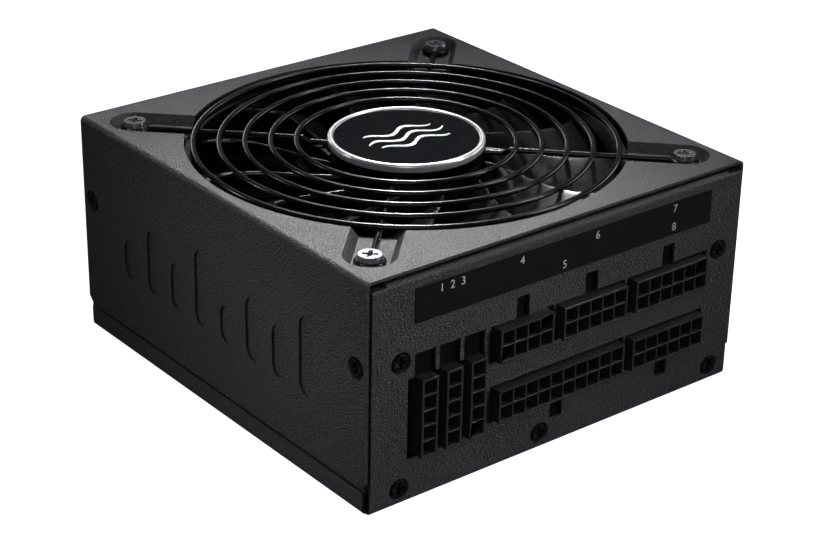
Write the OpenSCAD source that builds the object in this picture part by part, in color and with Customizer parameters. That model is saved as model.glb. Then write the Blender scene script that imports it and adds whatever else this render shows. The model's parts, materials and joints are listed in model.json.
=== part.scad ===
// Compact modular power supply unit with a slim 120 mm fan under a wire grille.
// Frame: +Z up, origin at the centre of the bottom face, socket panel towards -Y, mains panel towards +Y.

/* [Case] */
// Width of the case
case_w = 125; // [124:0.5:150]
// Depth of the case, from the socket panel to the mains panel
case_d = 130; // [129:0.5:170]
// Height of the case
case_h = 63.5; // [63:0.5:90]
// Thickness of the steel sheet
sheet = 0.8; // [0.7:0.05:1]
// Outside radius of a fold in the sheet
fold_r = 1.5; // [1.2:0.1:2]
// Height of the base's side strips below the cover
strip_h = 6.4; // [5:0.1:8]
// Open line between the cover's lower edge and the base
seam = 0.8; // [0.4:0.1:1.5]
// Fit between the cover and the base's folds
fit_gap = 0.4; // [0.2:0.05:0.6]

/* [Fan] */
// Side of the square fan frame
fan_size = 120; // [119:0.5:120]
// Thickness of the fan
fan_h = 15; // [14:0.5:17]
// Distance between fan screws
fan_pitch = 105; // [104:0.5:106]
// Number of fan blades
blade_count = 13; // [7:1:15]
// Radius of the fan tunnel
fan_bore_r = 57.6; // [56:0.1:58]
// Gap between blade tips and tunnel
tip_gap = 1; // [0.6:0.1:2]
// Radius of the fan hub
hub_r = 20.5; // [18:0.5:22]
// Radius of the motor shaft
shaft_r = 1.5; // [1:0.1:2]
// Radial play of the shaft in its bearing
shaft_play = 0.05; // [0.02:0.01:0.08]

/* [Grille] */
// Radius of the fan opening in the cover
opening_r = 59.45; // [58:0.05:59.6]
// Thickness of the grille wire
wire_d = 1.5; // [1.2:0.1:1.8]
// Radius of the outermost ring
ring_outer_r = 57; // [56:0.1:57.5]
// Radius of the innermost ring
ring_inner_r = 29.5; // [27:0.5:31]
// Number of rings
ring_count = 5; // [3:1:6]
// Radius of the round badge over the hub
badge_r = 21.2; // [18:0.1:23]
// Depth of the screw pockets at the corners of the opening
pocket_depth = 2.5; // [2.2:0.1:3]

/* [Sockets] */
// Distance between contacts in a socket
contact_pitch = 4.2; // [4:0.05:4.3]
// How far the sockets stand out of the panel
socket_proud = 2.3; // [1.5:0.1:3]
// Wall of a socket
socket_wall = 0.5; // [0.4:0.05:0.6]
// Height of the upper row of sockets above the base
upper_row_z = 35.5; // [35:0.1:36]
// Height of the lower row of sockets above the base
lower_row_z = 18.5; // [18:0.1:19]

/* [Mains panel] */
// Distance of the mounting holes from the edges of the mains panel
mount_inset = 6; // [5.5:0.5:7]
// Radius of the tapped mounting holes
mount_hole_r = 1.45; // [1.3:0.05:1.7]
// Sideways place of the mains inlet
inlet_x = 29; // [27:0.5:30]
// Sideways place of the switch
switch_x = -9; // [-12:0.5:-8]
// Height of the inlet and the switch above the base
inlet_z = 22; // [21:0.5:24]
// Distance across the flats of a vent hole
vent_af = 4; // [3:0.1:4.4]

/* [Hidden] */
$fn = 64;

// Case
half_w = case_w / 2;
half_d = case_d / 2;
inner_w = half_w - sheet;
panel_half = inner_w - fit_gap;
cover_z0 = strip_h + seam;
cover_inset = 0.5;
lip_h = 5.6;
lip_gap = 0.1;
strip_inset = 1.8;
top_gap = 1.1;
panel_top = case_h - sheet - top_gap;
top_flange = 5.5;
side_flange = 9;
corner_relief = 5.6;
relief_drop = 0.7;
cover_chamfer = 2;
bar_depth = 0.5;
bar_half = 3.4;
bar_pitch = 11.6;
bar_z = 23;
bar_heights = [22, 15, 18, 11, 22, 14, 19, 12];
overlap = 0.01;
through = 2;
fit = 0.1;

// Screws in pressed dimples
dimple_r = 3;
dimple_floor_r = 2.7;
dimple_depth = 1.1;
head_r = 2.5;
head_taper = 0.25;
head_recess = 3.4;
thread_r = 1.45;
thread_hole_r = 1.5;
screw_len = 6;
cover_screw_len = 3;
cover_screw_inset = 4.7;
fan_top = case_h - pocket_depth - sheet;
fan_z = fan_top - fan_h;
screws_under_fan = 5.6;
cover_screw_z = fan_z - screws_under_fan;
panel_screw_z = [4.7, cover_screw_z];
panel_screw_inset = [10, 7.6];
panel_middle_screw_x = -6.7;
panel_screws_at = concat([[panel_middle_screw_x, panel_screw_z[0]]],
    [for (z = panel_screw_z, x = [-half_w + panel_screw_inset[0], half_w - panel_screw_inset[1]]) [x, z]]);

// Fan and grille
pocket_z = case_h - pocket_depth;
screw_r = fan_pitch / sqrt(2);
pocket_half = 6.75;
pocket_floor_half = 4.7;
fan_hole_r = 1.9;
cover_hole_r = fan_hole_r + 0.3;
fan_thread_r = 1.85;
fan_screw_len = 8;
fan_screw_recess = 3.8;
fan_head_r = 3.2;
fan_head_h = 1.4;
eyelet_r = 3.3;
weld = 0.2;
spoke_z = pocket_z + wire_d / 2;
ring_z = spoke_z + wire_d - weld;
spoke_bend_r = 26;
spoke_bend_out = 2;
spoke_drop = 1;
spoke_root_r = 8;
spoke_plate_r = 10;
badge_plate_h = 0.8;
badge_disc_sink = 0.4;
badge_z = spoke_z - spoke_drop + wire_d / 2;
badge_top = case_h + 0.9;
badge_rim = 1.6;
frame_wall = 2.2;
frame_corner_r = 4;
flange_h = 3;
strut_h = 2.2;
strut_w = 4;
boss_h = fan_h - 6;
bearing_r = 3.4;
boss_r = bearing_r + 1.6;
shaft_seat = 1;
rotor_gap = 1;
hub_z0 = fan_z + strut_h + rotor_gap;
hub_z1 = fan_top - 1;
hub_wall = 1.5;
hub_roof = 2;
yoke_wall = 0.8;
magnet_wall = 1.6;
air_gap = 0.6;
blade_z0 = fan_z + 4;
blade_z1 = fan_top - 2.2;
blade_tip_rise = 2.2;
blade_root_r = hub_r - 0.7;
blade_tip_r = fan_bore_r - tip_gap;
blade_lag = 19;
blade_t = 1.4;
blade_steps = 5;
blade_stations = 7;
yoke_r = hub_r - hub_wall;
magnet_r = yoke_r - yoke_wall;
stator_r = magnet_r - magnet_wall - air_gap;
stator_z = [fan_z + strut_h + 1.9, fan_z + fan_h - 6.4];
tooth_w = 4.6;
tooth_tip = 2;
tooth_reach = 0.75;
stator_hub_r = boss_r + 2;
coil_t = 1.7;
coil_over = [0.9, 0.3];
motor_board_t = 0.8;

// Sockets: name, contacts across, contacts up, place along the panel, side gap of the cut-out
socket_front = -half_d - socket_proud;
board_y = -half_d + 10.5;
socket_board_t = 1.6;
socket_board_z = [1.4, fan_z - 1.7];
socket_rim = [0.9, 0.8];
contact_r = 0.55;
contact_back = 3;
contact_len = 7;
cut_gap = [0.5, 0.7];
drive_cut_gap = [2.65, 1.05, 0.2];
drive_latch = [6.5, 6.3];
latch_w = 4.2;
upper_latch_top = 10.9;
lower_latch_z = [-10.7, -6.2];
hex_across = 5.5;
sockets = [
    ["left_drive_socket", 1, 5, -45, 23.4, 0], ["middle_drive_socket", 1, 5, -37.3, 23.4, 0],
    ["right_drive_socket", 1, 5, -29.6, 23.4, 0], ["eight_way_socket", 4, 2, -14.1, upper_row_z, 1.5],
    ["ten_way_socket", 5, 2, 9, upper_row_z, 0.9], ["upper_twelve_way_socket", 6, 2, 36.1, upper_row_z, 1.4],
    ["twenty_way_socket", 10, 2, -1.3, lower_row_z, 1.3],
    ["lower_twelve_way_socket", 6, 2, 36.2, lower_row_z, 1]];
label_z = [panel_top - 12.6, panel_top - 3.2];
label_x = [-48.5, 50.6];
label_t = 0.15;

// Mains panel
inlet_w = 27;
inlet_h = 20;
inlet_depth = 20;
inlet_flange = [48, 24, 2.2];
inlet_corner_r = 3;
cavity = [24.6, 16.6, 15.6];
cavity_chamfer = 4.2;
inlet_screw_pitch = 40;
inlet_screw_r = 1.45;
inlet_screw_len = 7;
inlet_head = [2.8, 1.6];
pin_size = [2, 4];
pin_len = 11.5;
pin_tail = 6;
pins_at = [[-7, -2], [7, -2], [0, 2]];
switch_size = [12.8, 19.4, 14];
switch_flange = [15, 21.6, 2];
switch_corner_r = 1.2;
rocker_size = [9.8, 15.4];
rocker_gap = [0.35, 0.9];
rocker_well = 8;
rocker_pin_r = 1.2;
rocker_pin_gap = 0.08;
rocker_pin_wall = 0.8;
rocker_back = 3.2;
rocker_crown = 0.4;
rocker_tilt = 10;
switch_pivot_y = half_d - 1.6;
switch_back = half_d - switch_size[2];
pin_back = half_d - inlet_depth - pin_tail;
vent_pitch = vent_af + 0.9;
vent_margin = 5;
vent_switch_gap = [12, 11];
side_vent_z = [10, panel_top - 11];
upper_vent_z = [inlet_z + 16, panel_top - 4];
boss_out = 1.2;
mount_boss_r = 2.6;

// Main board and what stands on it: place on the board, then size
board_z = 5;
board_t = 1.6;
board_top = board_z + board_t;
board_front = board_y + socket_board_t + 2.6;
board_back = half_d - 7;
board_side_gap = 4;
film_t = 0.3;
film_gap = 1;
post_r = 2.8;
post_at = [half_w - 9.5, 43];
board_head = [2.7, 1.6];
board_screw_len = 4;
board_recess = 3;
bar_places = [-36, 18, 38];
bar_size = [9, 1, 14];
bar_foot = 3.5;
lead_d = 1.5;
mains_wire_d = 2.2;
plug_h = 15;
plug_wall = 0.8;
header_at = [50, -14];
header_size = [6, 5.8, 6];
fan_clearance = 2.6;
bulk_at = [-38, 22];
bulk_r = 15;
output_cap_r = 4;
output_cap_h = 15;
output_cap_pitch = 17;
output_cap_x = -44;
output_cap_y = board_front + 9.5;
mains_cap_x = 33;
mains_cap_y = [12, 27];
mains_cap_size = [26, 10, 16];
potting_sink = [1, 0.4];
choke_at = [[7, 30], [7, 15]];
choke_core = [8.6, 5, 6];
choke_z = 10.6;
choke_wire_t = 0.9;
choke_turns_angle = 110;
bridge_at = [53, 4];
bridge_size = [4.4, 24, 16];
bridge_leads = [-9, -3, 3, 9];
lead_h = 3;
tab_hole_r = 1.8;
sink_h = 30;
sink_t = 2.4;
fin_t = 1.6;
fin_z = 16;
primary_sink_at = [-17.5, 4];
primary_sink_len = 40;
primary_fins = 6;
primary_fin_w = 6;
secondary_sink_at = [-16, -33];
secondary_sink_len = 52;
secondary_fins = 7;
secondary_fin_w = 5;
package = [10, 4.4, 9];
tab = [10, 1.3, 6.4];
leg = [0.8, 0.6];
leg_pitch = 2.54;
boost_at = [-38, -10.5];
boost_core = [26, 24, 25];
boost_yoke = 5;
boost_coil = [6, 28, 15];
boost_coil_x = 9.6;
transformer_at = [6, -11];
transformer_size = [34, 16, 32];
transformer_limb = 5;
transformer_fit = 0.1;
standby_at = [36, -10];
standby_coil = [16, 13, 11];
standby_core = [19, 7, 17];
control_at = [-56, -30];
control_size = [36, 1.6, 26];
chip_size = [5.2, 1.5, 8];
chip_places = [6, 18, 28];
fuse_at = [50, 17.5];
fuse_r = [3, 2.6];
fuse_len = 20;
fuse_cap = 5;

// ---- helpers ----
module span(x, y, z) {
    translate([x[0], y[0], z[0]]) cube([x[1] - x[0], y[1] - y[0], z[1] - z[0]]);
}

// An outline drawn in X and Z, run along Y
module along_y(y0, y1) {
    translate([0, y1, 0]) rotate([90, 0, 0]) linear_extrude(y1 - y0) children();
}

// An outline drawn in Y and Z, run along X
module along_x(x0, x1) {
    translate([x0, 0, 0]) rotate([90, 0, 90]) linear_extrude(x1 - x0) children();
}

module rounded(lo, hi, r) {
    translate([lo[0] + r, lo[1]]) square([hi[0] - lo[0] - 2 * r, hi[1] - lo[1]]);
    translate([lo[0], lo[1] + r]) square([hi[0] - lo[0], hi[1] - lo[1] - 2 * r]);
    for (x = [lo[0] + r, hi[0] - r], y = [lo[1] + r, hi[1] - r]) translate([x, y]) circle(r);
}

// A closed skin through loops of equally many points, with strips across both ends
module skin(loops) {
    n = len(loops[0]);
    last = len(loops) - 1;
    corners = [for (i = [0:last - 1], k = [0:n - 1])
        [i * n + k, i * n + (k + 1) % n, (i + 1) * n + (k + 1) % n, (i + 1) * n + k]];
    sides = [for (c = corners) each c[0] % n < n / 2
        ? [[c[0], c[1], c[2]], [c[0], c[2], c[3]]] : [[c[0], c[1], c[3]], [c[1], c[2], c[3]]]];
    ends = [for (k = [0:n / 2 - 2]) [n - 1 - k, n - 2 - k, k + 1, k]];
    far_ends = [for (f = ends) [for (k = [3:-1:0]) f[k] + last * n]];
    polyhedron(points = [for (l = loops) each l], faces = concat(sides, ends, far_ends));
}

module both_sides() {
    children();
    mirror([1, 0, 0]) children();
}

// A box that stands on z = 0 with its middle on the Z axis
module block(size) {
    translate([-size[0] / 2, -size[1] / 2, 0]) cube(size);
}

module on_board(at) {
    translate([at[0], at[1], board_top]) children();
}

function unit(v) = v / norm(v);
function heading(p, i) = unit(p[min(i + 1, len(p) - 1)] - p[max(i - 1, 0)]);
function curve_point(a, b, c, d, t) =
    (2 * b + (c - a) * t + (2 * a - 5 * b + 4 * c - d) * t * t + (3 * b - a - 3 * c + d) * t * t * t) / 2;
function curve(p, n) = [for (i = [0:len(p) - 2], k = [0:n - 1])
    curve_point(p[max(i - 1, 0)], p[i], p[i + 1], p[min(i + 2, len(p) - 1)], k / n), p[len(p) - 1]];

// A wire of diameter d along a route
module wire(route, d) {
    p = curve(route, 4);
    side = [for (i = 0, v = unit(cross(heading(p, 0), [0.4, 0.8, 0.45])); i < len(p);
        i = i + 1, v = unit(v - (v * heading(p, i)) * heading(p, i))) v];
    skin([for (i = [0:len(p) - 1]) [for (k = [0:7])
        p[i] + d / 2 * (cos(45 * k) * side[i] - sin(45 * k) * cross(heading(p, i), side[i]))]]);
}

module cross_recess(size, depth) {
    arm = size / 4;
    for (a = [0, 90]) rotate(a) translate([-size / 2, -arm / 2, -depth]) cube([size, arm, depth + through]);
    translate([0, 0, -depth]) cylinder(h = depth + overlap, r1 = arm / 2, r2 = arm);
}

// A screw along -Z whose head's underside is at z = 0
module screw(head, head_h, shank, len, recess) {
    difference() {
        union() {
            cylinder(h = head_h, r1 = head, r2 = head - head_taper);
            translate([0, 0, -len]) cylinder(h = len, r = shank);
        }
        translate([0, 0, head_h]) cross_recess(recess, head_h * 0.75);
    }
}

module at_fan_corners() {
    for (a = [45:90:315]) rotate(a) translate([screw_r, 0, 0]) children();
}

// Places a child's +Z along the outward normal of each screw place on the cover's sides
module at_cover_screws() {
    for (s = [-1, 1], y = [-1, 1])
        translate([s * half_w, y * (half_d - cover_screw_inset), cover_screw_z])
            rotate([0, s * 90, 0]) children();
}

module at_panel_screws() {
    for (p = panel_screws_at) translate([p[0], -half_d, p[1]]) rotate([90, 0, 0]) children();
}

// The hollow of a pressed dimple in a face at z = 0, and the bump behind it
module dimple_cut(spread) {
    translate([0, 0, -dimple_depth])
        cylinder(h = dimple_depth, r1 = dimple_floor_r + spread, r2 = dimple_r + spread);
}

module dimple_bump(spread) {
    translate([0, 0, -dimple_depth - sheet])
        cylinder(h = dimple_depth + sheet / 2, r1 = dimple_floor_r + spread, r2 = dimple_r + spread);
}

// ---- case ----
module pocket(spread) {
    z0 = pocket_z - (spread > 0 ? sheet : 0);
    depth = pocket_depth + (spread > 0 ? 0 : overlap);
    for (a = [45:90:315]) rotate(a) {
        translate([screw_r, 0, z0])
            cylinder(h = depth, r1 = pocket_floor_half + spread, r2 = pocket_half + spread);
        translate([ring_outer_r, 0, z0]) rotate([90, 0, 90]) linear_extrude(screw_r - ring_outer_r)
            polygon([[-pocket_floor_half - spread, 0], [pocket_floor_half + spread, 0],
                [pocket_half + spread, depth], [-pocket_half - spread, depth]]);
    }
}

module cover_outline(inset) {
    w = half_w - inset;
    r = fold_r - inset;
    top = case_h - inset;
    z0 = cover_z0 - inset * through;
    translate([-w, z0]) square([2 * w, top - r - z0]);
    translate([-w + r, z0]) square([2 * w - 2 * r, top - z0]);
    for (s = [-1, 1]) translate([s * (w - r), top - r]) circle(r);
}

// Plain pressed bars along the left side of the cover
module side_bars(spread, depth) {
    half = bar_half + spread;
    for (i = [0:len(bar_heights) - 1]) {
        y = (i - (len(bar_heights) - 1) / 2) * bar_pitch;
        z0 = bar_z + bar_half;
        z1 = bar_z + bar_heights[i] - bar_half;
        translate([-half_w, 0, 0]) along_x(spread > 0 ? sheet / 2 : -overlap, depth) {
            translate([y - half, z0]) square([2 * half, z1 - z0]);
            for (z = [z0, z1]) translate([y, z]) circle(half);
        }
    }
}

module top_cover() {
    chamfer_side = cover_chamfer * sqrt(2);
    color("#3a3d40") difference() {
        union() {
            difference() {
                along_y(-half_d + cover_inset, half_d - cover_inset) difference() {
                    cover_outline(0);
                    cover_outline(sheet);
                }
                for (y = [-1, 1]) translate([0, y * (half_d - cover_inset), cover_z0]) rotate([45, 0, 0])
                    cube([case_w + through, chamfer_side, chamfer_side], center = true);
            }
            pocket(sheet);
            at_cover_screws() dimple_bump(sheet);
            side_bars(sheet, sheet + bar_depth);
        }
        pocket(0);
        translate([0, 0, fan_top - through]) cylinder(h = case_h, r = opening_r, $fn = 180);
        at_fan_corners() translate([0, 0, fan_top - through]) cylinder(h = case_h, r = cover_hole_r);
        at_cover_screws() {
            dimple_cut(0);
            translate([0, 0, -screw_len]) cylinder(h = screw_len, r = thread_hole_r);
        }
        side_bars(0, bar_depth);
    }
}

module base_ring(inset) {
    rounded([-half_d + inset, inset], [half_d - inset, panel_top - inset], fold_r - inset);
}

module base_wrap() {
    difference() {
        along_x(-panel_half, panel_half) difference() {
            base_ring(0);
            base_ring(sheet);
        }
        span([-half_w, half_w], [-half_d + top_flange, half_d - top_flange], [panel_top - through, case_h]);
        both_sides() translate([half_w - corner_relief, -half_d, panel_top - relief_drop])
            cube([corner_relief, case_d, case_h]);
    }
}

module base_floor() {
    lip_x = inner_w - lip_gap;
    along_y(-half_d + strip_inset, half_d - strip_inset) {
        difference() {
            rounded([-half_w, 0], [half_w, strip_h * 2], fold_r);
            rounded([-inner_w, sheet], [inner_w, strip_h * 2], fold_r - sheet);
            translate([-half_w, strip_h]) square([case_w, case_h]);
        }
        both_sides() {
            translate([lip_x - sheet, strip_h - sheet]) square([half_w - lip_x + sheet, sheet]);
            translate([lip_x - sheet, strip_h - sheet]) square([sheet, lip_h]);
        }
    }
}

module base_side_flanges() {
    translate([0, 0, cover_z0]) linear_extrude(panel_top - fold_r - cover_z0) difference() {
        rounded([-panel_half, -half_d], [panel_half, half_d], fold_r);
        rounded([-panel_half + sheet, -half_d + sheet], [panel_half - sheet, half_d - sheet], fold_r - sheet);
        square([case_w, case_d - 2 * side_flange], center = true);
    }
}

// Vent holes in a field of the mains panel, x and z limits given
module vent_field(x, z) {
    rows = floor((z[1] - z[0]) / (vent_pitch * sin(60)));
    columns = floor((x[1] - x[0]) / vent_pitch);
    for (j = [0:rows - 1], i = [0:columns - 1 - j % 2])
        translate([x[0] + vent_pitch * (i + 0.5 + (j % 2) / 2), z[0] + vent_pitch * sin(60) * (j + 0.5)])
            rotate(30) circle(vent_af / sqrt(3), $fn = 6);
}

function socket_w(s) = s[1] * contact_pitch + socket_rim[0];
function socket_h(s) = s[2] * contact_pitch + socket_rim[1];

module socket_cuts() {
    drive = sockets[0];
    z0 = drive[4] - socket_h(drive) / 2 - drive_cut_gap[2];
    z1 = drive[4] + socket_h(drive) / 2 + drive_cut_gap[2];
    x0 = drive[3] - socket_w(drive) / 2 - drive_cut_gap[0];
    x1 = sockets[2][3] + socket_w(drive) / 2 + drive_cut_gap[1];
    translate([x0, z0]) square([x1 - x0, z1 - z0]);
    for (i = [0:2]) translate([sockets[i][3] - drive_latch[0] / 2, z1 - overlap]) square(drive_latch);
    for (i = [3:len(sockets) - 1]) {
        s = sockets[i];
        translate([s[3] - socket_w(s) / 2 - s[5], s[4] - socket_h(s) / 2 - cut_gap[0]])
            square([socket_w(s) + 2 * s[5], socket_h(s) + cut_gap[0] + cut_gap[1]]);
        if (s[4] == upper_row_z) translate([s[3] - latch_w / 2, s[4]]) square([latch_w, upper_latch_top]);
        else translate([s[3] - latch_w / 2, s[4] + lower_latch_z[0]])
            square([latch_w, lower_latch_z[1] - lower_latch_z[0]]);
    }
}

module mains_cuts() {
    translate([inlet_x, inlet_z]) square([inlet_w + 4 * fit, inlet_h + 4 * fit], center = true);
    for (s = [-1, 1]) translate([inlet_x + s * inlet_screw_pitch / 2, inlet_z]) circle(inlet_screw_r + fit);
    translate([switch_x, inlet_z])
        square([switch_size[0] + 2 * fit, switch_size[1] + 2 * fit], center = true);
    vent_field([-panel_half + vent_margin, switch_x - vent_switch_gap[0]], side_vent_z);
    vent_field([switch_x - vent_switch_gap[1], panel_half - vent_margin], upper_vent_z);
}

module at_mount_holes() {
    for (x = [-1, 1], z = [mount_inset, case_h - mount_inset])
        translate([x * (half_w - mount_inset), half_d, z]) rotate([-90, 0, 0]) children();
}

module base_shell() {
    color("#2a2d30") difference() {
        union() {
            base_wrap();
            base_floor();
            base_side_flanges();
            at_panel_screws() dimple_bump(sheet);
            intersection() {
                at_cover_screws() translate([0, 0, -sheet - fit_gap]) dimple_bump(sheet * 1.5);
                translate([0, 0, case_h / 2]) cube([2 * panel_half, case_d, case_h], center = true);
            }
            at_mount_holes() translate([0, 0, -sheet - boss_out])
                cylinder(h = boss_out + overlap, r = mount_boss_r);
        }
        at_panel_screws() {
            dimple_cut(0);
            translate([0, 0, -screw_len]) cylinder(h = screw_len, r = thread_hole_r);
        }
        at_cover_screws() {
            translate([0, 0, -sheet]) dimple_cut(sheet + fit);
            translate([0, 0, -screw_len]) cylinder(h = screw_len, r = thread_hole_r);
        }
        along_y(-half_d - 1, -half_d + sheet + 1) socket_cuts();
        along_y(half_d - sheet - 1, half_d + 1) mains_cuts();
        at_mount_holes() translate([0, 0, -screw_len]) cylinder(h = screw_len + 1, r = mount_hole_r);
    }
}

module cover_screws() {
    color("#1b1d1f") at_cover_screws() translate([0, 0, -dimple_depth])
        screw(head_r, dimple_depth, thread_r, cover_screw_len, head_recess);
}

module panel_screws() {
    color("#1b1d1f") at_panel_screws() translate([0, 0, -dimple_depth])
        screw(head_r, dimple_depth, thread_r, screw_len, head_recess);
}

module label_strip() {
    color("#101214") span(label_x, [-half_d - label_t, -half_d], label_z);
}

// ---- grille ----
// A straight piece of grille wire that points outward from radius r0 to r1
module spoke_wire(r0, r1, z) {
    translate([r0, 0, z]) rotate([0, 90, 0]) cylinder(h = r1 - r0, r = wire_d / 2);
}

module fan_grille() {
    bend_r = spoke_bend_r + spoke_bend_out;
    low_z = spoke_z - spoke_drop;
    ring_pitch = (ring_outer_r - ring_inner_r) / (ring_count - 1);
    color("#141517") {
        for (i = [0:ring_count - 1]) translate([0, 0, ring_z])
            rotate_extrude($fn = 180) translate([ring_inner_r + i * ring_pitch, 0]) circle(wire_d / 2);
        for (a = [45:90:315]) rotate(a) {
            spoke_wire(bend_r, screw_r - eyelet_r, spoke_z);
            spoke_wire(spoke_root_r, spoke_bend_r, low_z);
            hull() {
                spoke_wire(spoke_bend_r, spoke_bend_r + overlap, low_z, $fn = 32);
                spoke_wire(bend_r, bend_r + overlap, spoke_z, $fn = 32);
            }
            translate([screw_r, 0, spoke_z]) rotate_extrude() translate([eyelet_r, 0]) circle(wire_d / 2);
        }
        translate([0, 0, low_z - wire_d / 2]) cylinder(h = wire_d, r = spoke_plate_r);
    }
}

module badge_plate() {
    color("#141517") translate([0, 0, badge_z]) cylinder(h = badge_plate_h, r = badge_r);
}

module badge_ring() {
    rim_h = badge_top - badge_z - badge_plate_h;
    color("#d8dadc") translate([0, 0, badge_z + badge_plate_h]) rotate_extrude($fn = 128) {
        translate([badge_r - badge_rim, 0]) square([badge_rim, rim_h - badge_rim / 2]);
        translate([badge_r - badge_rim / 2, rim_h - badge_rim / 2]) circle(badge_rim / 2);
    }
}

module badge_disc() {
    z0 = badge_z + badge_plate_h;
    color("#0c0d0f") translate([0, 0, z0])
        cylinder(h = badge_top - badge_disc_sink - z0, r = badge_r - badge_rim - fit / 2);
}

module fan_screws() {
    color("#1b1d1f") at_fan_corners() translate([0, 0, pocket_z + wire_d])
        screw(fan_head_r, fan_head_h, fan_thread_r, fan_screw_len, fan_screw_recess);
}

// ---- fan ----
module fan_frame() {
    color("#1c1d1f") {
        difference() {
            union() {
                for (z = [fan_z, fan_top - flange_h]) translate([0, 0, z]) linear_extrude(flange_h)
                    rounded([-fan_size / 2, -fan_size / 2], [fan_size / 2, fan_size / 2], frame_corner_r);
                translate([0, 0, fan_z]) cylinder(h = fan_h, r = fan_bore_r + frame_wall, $fn = 180);
            }
            translate([0, 0, fan_z - 1]) cylinder(h = fan_h + through, r = fan_bore_r, $fn = 180);
            at_fan_corners() translate([0, 0, fan_z - 1]) cylinder(h = fan_h + through, r = fan_hole_r);
        }
        difference() {
            translate([0, 0, fan_z]) {
                cylinder(h = strut_h, r = hub_r);
                cylinder(h = boss_h, r = boss_r);
                for (a = [30:90:300]) rotate(a) translate([hub_r - strut_w / 2, -strut_w / 2, 0])
                    cube([fan_bore_r + frame_wall / 2 + strut_w / 2 - hub_r, strut_w, strut_h]);
            }
            translate([0, 0, fan_z + strut_h / 2]) cylinder(h = fan_h, r = bearing_r);
        }
    }
}

module fan_bearing() {
    color("#b08d4a") translate([0, 0, fan_z + strut_h / 2]) difference() {
        cylinder(h = boss_h - strut_h / 2, r = bearing_r);
        translate([0, 0, shaft_seat]) cylinder(h = fan_h, r = shaft_r + shaft_play);
    }
}

module fan_motor_board() {
    color("#20603a") translate([0, 0, fan_z + strut_h]) difference() {
        cylinder(h = motor_board_t, r = stator_r - air_gap);
        translate([0, 0, -1]) cylinder(h = through * 2, r = boss_r + fit);
    }
}

module fan_stator() {
    color("#8a8f94") translate([0, 0, stator_z[0]]) linear_extrude(stator_z[1] - stator_z[0]) difference() {
        union() {
            circle(stator_hub_r);
            for (a = [0:90:270]) rotate(a) {
                translate([0, -tooth_w / 2]) square([stator_r - tooth_tip / 2, tooth_w]);
                intersection() {
                    difference() {
                        circle(stator_r);
                        circle(stator_r - tooth_tip);
                    }
                    polygon([[0, 0], stator_r * [1, -tooth_reach], stator_r * [1, tooth_reach]]);
                }
            }
        }
        circle(boss_r);
    }
}

module fan_windings() {
    inner = stator_hub_r + fit;
    outer = stator_r - tooth_tip - coil_t / 2;
    z0 = stator_z[0] - coil_over[0];
    z1 = stator_z[1] + coil_over[1];
    color("#b5682e") for (a = [0:90:270]) rotate(a) difference() {
        span([inner, outer], [-tooth_w / 2 - coil_t, tooth_w / 2 + coil_t], [z0, z1]);
        span([0, stator_r], [-tooth_w / 2, tooth_w / 2], stator_z);
    }
}

module fan_shaft() {
    z0 = fan_z + strut_h / 2 + shaft_seat + shaft_play;
    color("#c8ccd0") translate([0, 0, z0]) cylinder(h = hub_z1 - hub_roof - z0, r = shaft_r);
}

// Direction of a blade's upper edge at radius r, in degrees: a lean with radius and a sweep at both ends
function edge_angle(r) = 14 - 0.42 * (r - 54) + 0.034 * (r - 40) * (r - 40);

// A blade's section at radius r: the lower skin out and the upper skin back
function blade_loop(r) = let(
    share = (r - blade_root_r) / (blade_tip_r - blade_root_r),
    fall = blade_z1 - blade_z0 - blade_tip_rise * share,
    chord = [for (k = [0:blade_steps]) let(t = k / blade_steps)
        [edge_angle(r) - t * blade_lag, blade_z1 - fall * (0.75 + 0.25 * t) * t, 0.4 + 0.6 * sin(180 * t)]],
    lower = [for (c = chord) [r * cos(c[0]), r * sin(c[0]), c[1] - blade_t * c[2]]],
    upper = [for (k = [blade_steps:-1:0]) let(c = chord[k]) [r * cos(c[0]), r * sin(c[0]), c[1]]])
    concat(lower, upper);

module fan_impeller() {
    color("#0f1012") {
        translate([0, 0, hub_z0]) difference() {
            cylinder(h = hub_z1 - hub_z0, r = hub_r);
            translate([0, 0, -overlap])
                cylinder(h = hub_z1 - hub_z0 - hub_roof + overlap, r = hub_r - hub_wall);
        }
        for (i = [0:blade_count - 1]) rotate(i * 360 / blade_count)
            skin([for (k = [0:blade_stations])
                blade_loop(blade_root_r + k / blade_stations * (blade_tip_r - blade_root_r))]);
    }
}

module rotor_tube(outer, wall, z0) {
    translate([0, 0, z0]) difference() {
        cylinder(h = hub_z1 - hub_roof - z0, r = outer);
        translate([0, 0, -1]) cylinder(h = fan_h, r = outer - wall);
    }
}

module fan_yoke() {
    color("#9a9ea3") rotor_tube(yoke_r, yoke_wall, hub_z0 + 0.4);
}

module fan_magnet() {
    color("#303236") rotor_tube(magnet_r, magnet_wall, hub_z0 + 0.8);
}

// The straight first three points of a wire that leaves a place in one direction
function wire_end(at, out) = [at, at + out, at + 2 * out];

plug_top = board_top + 1 + plug_h;
lead_route = concat([[41.3, 17.8, fan_z - 0.9], [45, 14, fan_z - 1], [50.5, 4, fan_z - 1.4],
    [51, -6, fan_z - 5], [header_at[0] + 0.5, header_at[1] + 1.5, plug_top + 11]],
    [for (k = [2:-1:0]) [header_at[0], header_at[1], plug_top + k * 2]]);

module fan_lead() {
    color("#7a1f1c") wire(lead_route, lead_d);
}

module fan_header() {
    color("#e8e4d8") on_board(header_at) difference() {
        block(header_size);
        translate([0, 0, 1])
            block([header_size[0] - 2 * plug_wall, header_size[1] - 2 * plug_wall, header_size[2]]);
    }
}

module fan_plug() {
    wall = plug_wall + fit;
    color("#1a1a1c") on_board(header_at) translate([0, 0, 1])
        block([header_size[0] - 2 * wall, header_size[1] - 2 * wall, plug_h]);
}

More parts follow.
